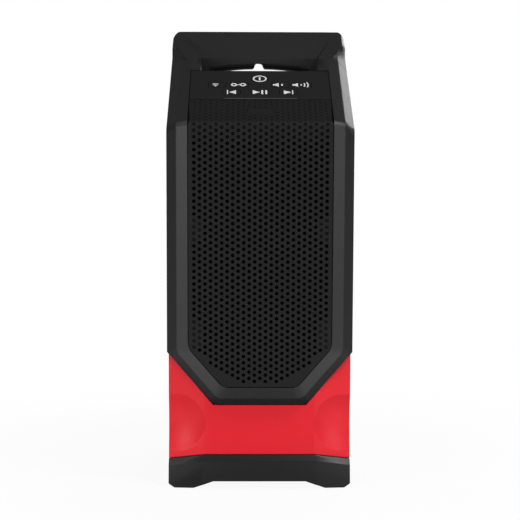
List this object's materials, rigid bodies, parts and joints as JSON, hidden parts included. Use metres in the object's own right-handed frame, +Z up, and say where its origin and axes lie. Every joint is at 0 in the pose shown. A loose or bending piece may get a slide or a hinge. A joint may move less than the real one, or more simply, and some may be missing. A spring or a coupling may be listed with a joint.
{
  "type": "jobsite wireless speaker",
  "caption": "Upright jobsite speaker with a perforated front, sloping key panel, carry handle over a hand well, red lower shroud, footed base and a slide-in battery.",
  "frame": {"origin": "middle of the floor under the feet, centred on the overall box", "axes": "+Z up, -Y towards the front with the grille, +X to the right seen from the front"},
  "size_m": [0.104, 0.108, 0.2583],
  "materials": {
    "black_plastic": "fine moulded texture, satin",
    "red_plastic": "moulded, semi-gloss",
    "grille_plastic": "moulded, satin",
    "key_plastic": "moulded with pale printed marks",
    "latch_plastic": "moulded",
    "rubber": "matt",
    "cloth": "woven",
    "lens": "smoked",
    "board": "solder mask",
    "ribbon": "film",
    "basket_steel": "painted",
    "cone": "coated paper",
    "copper": "bare",
    "steel": "zinc plated",
    "ferrite": "sintered",
    "aluminium": "extruded",
    "cell": null,
    "lead": "insulated"
  },
  "bodies": {
    "housing": {"front_shell": "black_plastic", "rear_shell": "black_plastic", "base": "black_plastic", "control_plate": "black_plastic", "lower_shroud": "red_plastic", "grille": "grille_plastic", "battery_bay": "latch_plastic", "terminal_block": "latch_plastic", "key_switches": "latch_plastic", "baffle": "latch_plastic", "foot_pads": "rubber", "driver_gaskets": "rubber", "driver_surround": "rubber", "radiator_surround": "rubber", "grille_cloth": "cloth", "driver_spider": "cloth", "status_lens": "lens", "keypad_board": "board", "main_board": "board", "keypad_ribbon": "ribbon", "driver_basket": "basket_steel", "radiator_frame": "basket_steel", "terminal_blades": "copper", "driver_top_plate": "steel", "driver_yoke": "steel", "radio_module": "steel", "charge_port": "steel", "housing_screws": "steel", "base_screws": "steel", "baffle_screws": "steel", "grille_screws": "steel", "driver_screws": "steel", "keypad_screws": "steel", "board_screws": "steel", "driver_magnet": "ferrite", "heat_sink": "aluminium", "capacitors": "aluminium", "speaker_leads": "lead", "battery_leads": "lead"},
    "wireless_key": {"key_wireless": "key_plastic"},
    "link_key": {"key_link": "key_plastic"},
    "power_key": {"key_power": "key_plastic"},
    "volume_down_key": {"key_volume_down": "key_plastic"},
    "volume_up_key": {"key_volume_up": "key_plastic"},
    "previous_key": {"key_previous": "key_plastic"},
    "play_pause_key": {"key_play_pause": "key_plastic"},
    "next_key": {"key_next": "key_plastic"},
    "driver_moving": {"driver_cone": "cone", "dust_cap": "cone", "voice_coil": "copper"},
    "radiator_moving": {"radiator_diaphragm": "cone", "radiator_weight": "steel"},
    "battery": {"battery_case": "black_plastic", "battery_cells": "cell"},
    "latch_left": {"battery_latch_left": "latch_plastic"},
    "latch_right": {"battery_latch_right": "latch_plastic"},
    "cover": {"port_cover": "rubber"}
  },
  "joints": [
    {"name": "power_key_press", "type": "slide", "parent": "housing", "child": "power_key", "axis": [0, 0.4384, -0.8988], "range_m": [0, 0.0007], "stiffness_N_per_m": 1500},
    {"name": "wireless_key_press", "type": "slide", "parent": "housing", "child": "wireless_key", "axis": [0, 0.4384, -0.8988], "range_m": [0, 0.0007], "stiffness_N_per_m": 1500},
    {"name": "link_key_press", "type": "slide", "parent": "housing", "child": "link_key", "axis": [0, 0.4384, -0.8988], "range_m": [0, 0.0007], "stiffness_N_per_m": 1500},
    {"name": "volume_down_key_press", "type": "slide", "parent": "housing", "child": "volume_down_key", "axis": [0, 0.4384, -0.8988], "range_m": [0, 0.0007], "stiffness_N_per_m": 1500},
    {"name": "volume_up_key_press", "type": "slide", "parent": "housing", "child": "volume_up_key", "axis": [0, 0.4384, -0.8988], "range_m": [0, 0.0007], "stiffness_N_per_m": 1500},
    {"name": "previous_key_press", "type": "slide", "parent": "housing", "child": "previous_key", "axis": [0, 0.4384, -0.8988], "range_m": [0, 0.0007], "stiffness_N_per_m": 1500},
    {"name": "play_pause_key_press", "type": "slide", "parent": "housing", "child": "play_pause_key", "axis": [0, 0.4384, -0.8988], "range_m": [0, 0.0007], "stiffness_N_per_m": 1500},
    {"name": "next_key_press", "type": "slide", "parent": "housing", "child": "next_key", "axis": [0, 0.4384, -0.8988], "range_m": [0, 0.0007], "stiffness_N_per_m": 1500},
    {"name": "driver_stroke", "type": "slide", "parent": "housing", "child": "driver_moving", "axis": [0, 1, 0], "range_m": [-0.0012, 0.0012], "stiffness_N_per_m": 1800},
    {"name": "radiator_stroke", "type": "slide", "parent": "housing", "child": "radiator_moving", "axis": [0, 1, 0], "range_m": [-0.0012, 0.0012], "stiffness_N_per_m": 1800},
    {"name": "battery_slide", "type": "slide", "parent": "housing", "child": "battery", "axis": [0, 1, 0], "range_m": [0, 0.08]},
    {"name": "latch_left_press", "type": "slide", "parent": "battery", "child": "latch_left", "axis": [1, 0, 0], "range_m": [0, 0.0015], "stiffness_N_per_m": 1200},
    {"name": "latch_right_press", "type": "slide", "parent": "battery", "child": "latch_right", "axis": [-1, 0, 0], "range_m": [0, 0.0015], "stiffness_N_per_m": 1200},
    {"name": "cover_hinge", "type": "hinge", "parent": "housing", "child": "cover", "pos_m": [0, 0.0539, 0.128], "axis": [1, 0, 0], "range_deg": [0, 110]}
  ]
}
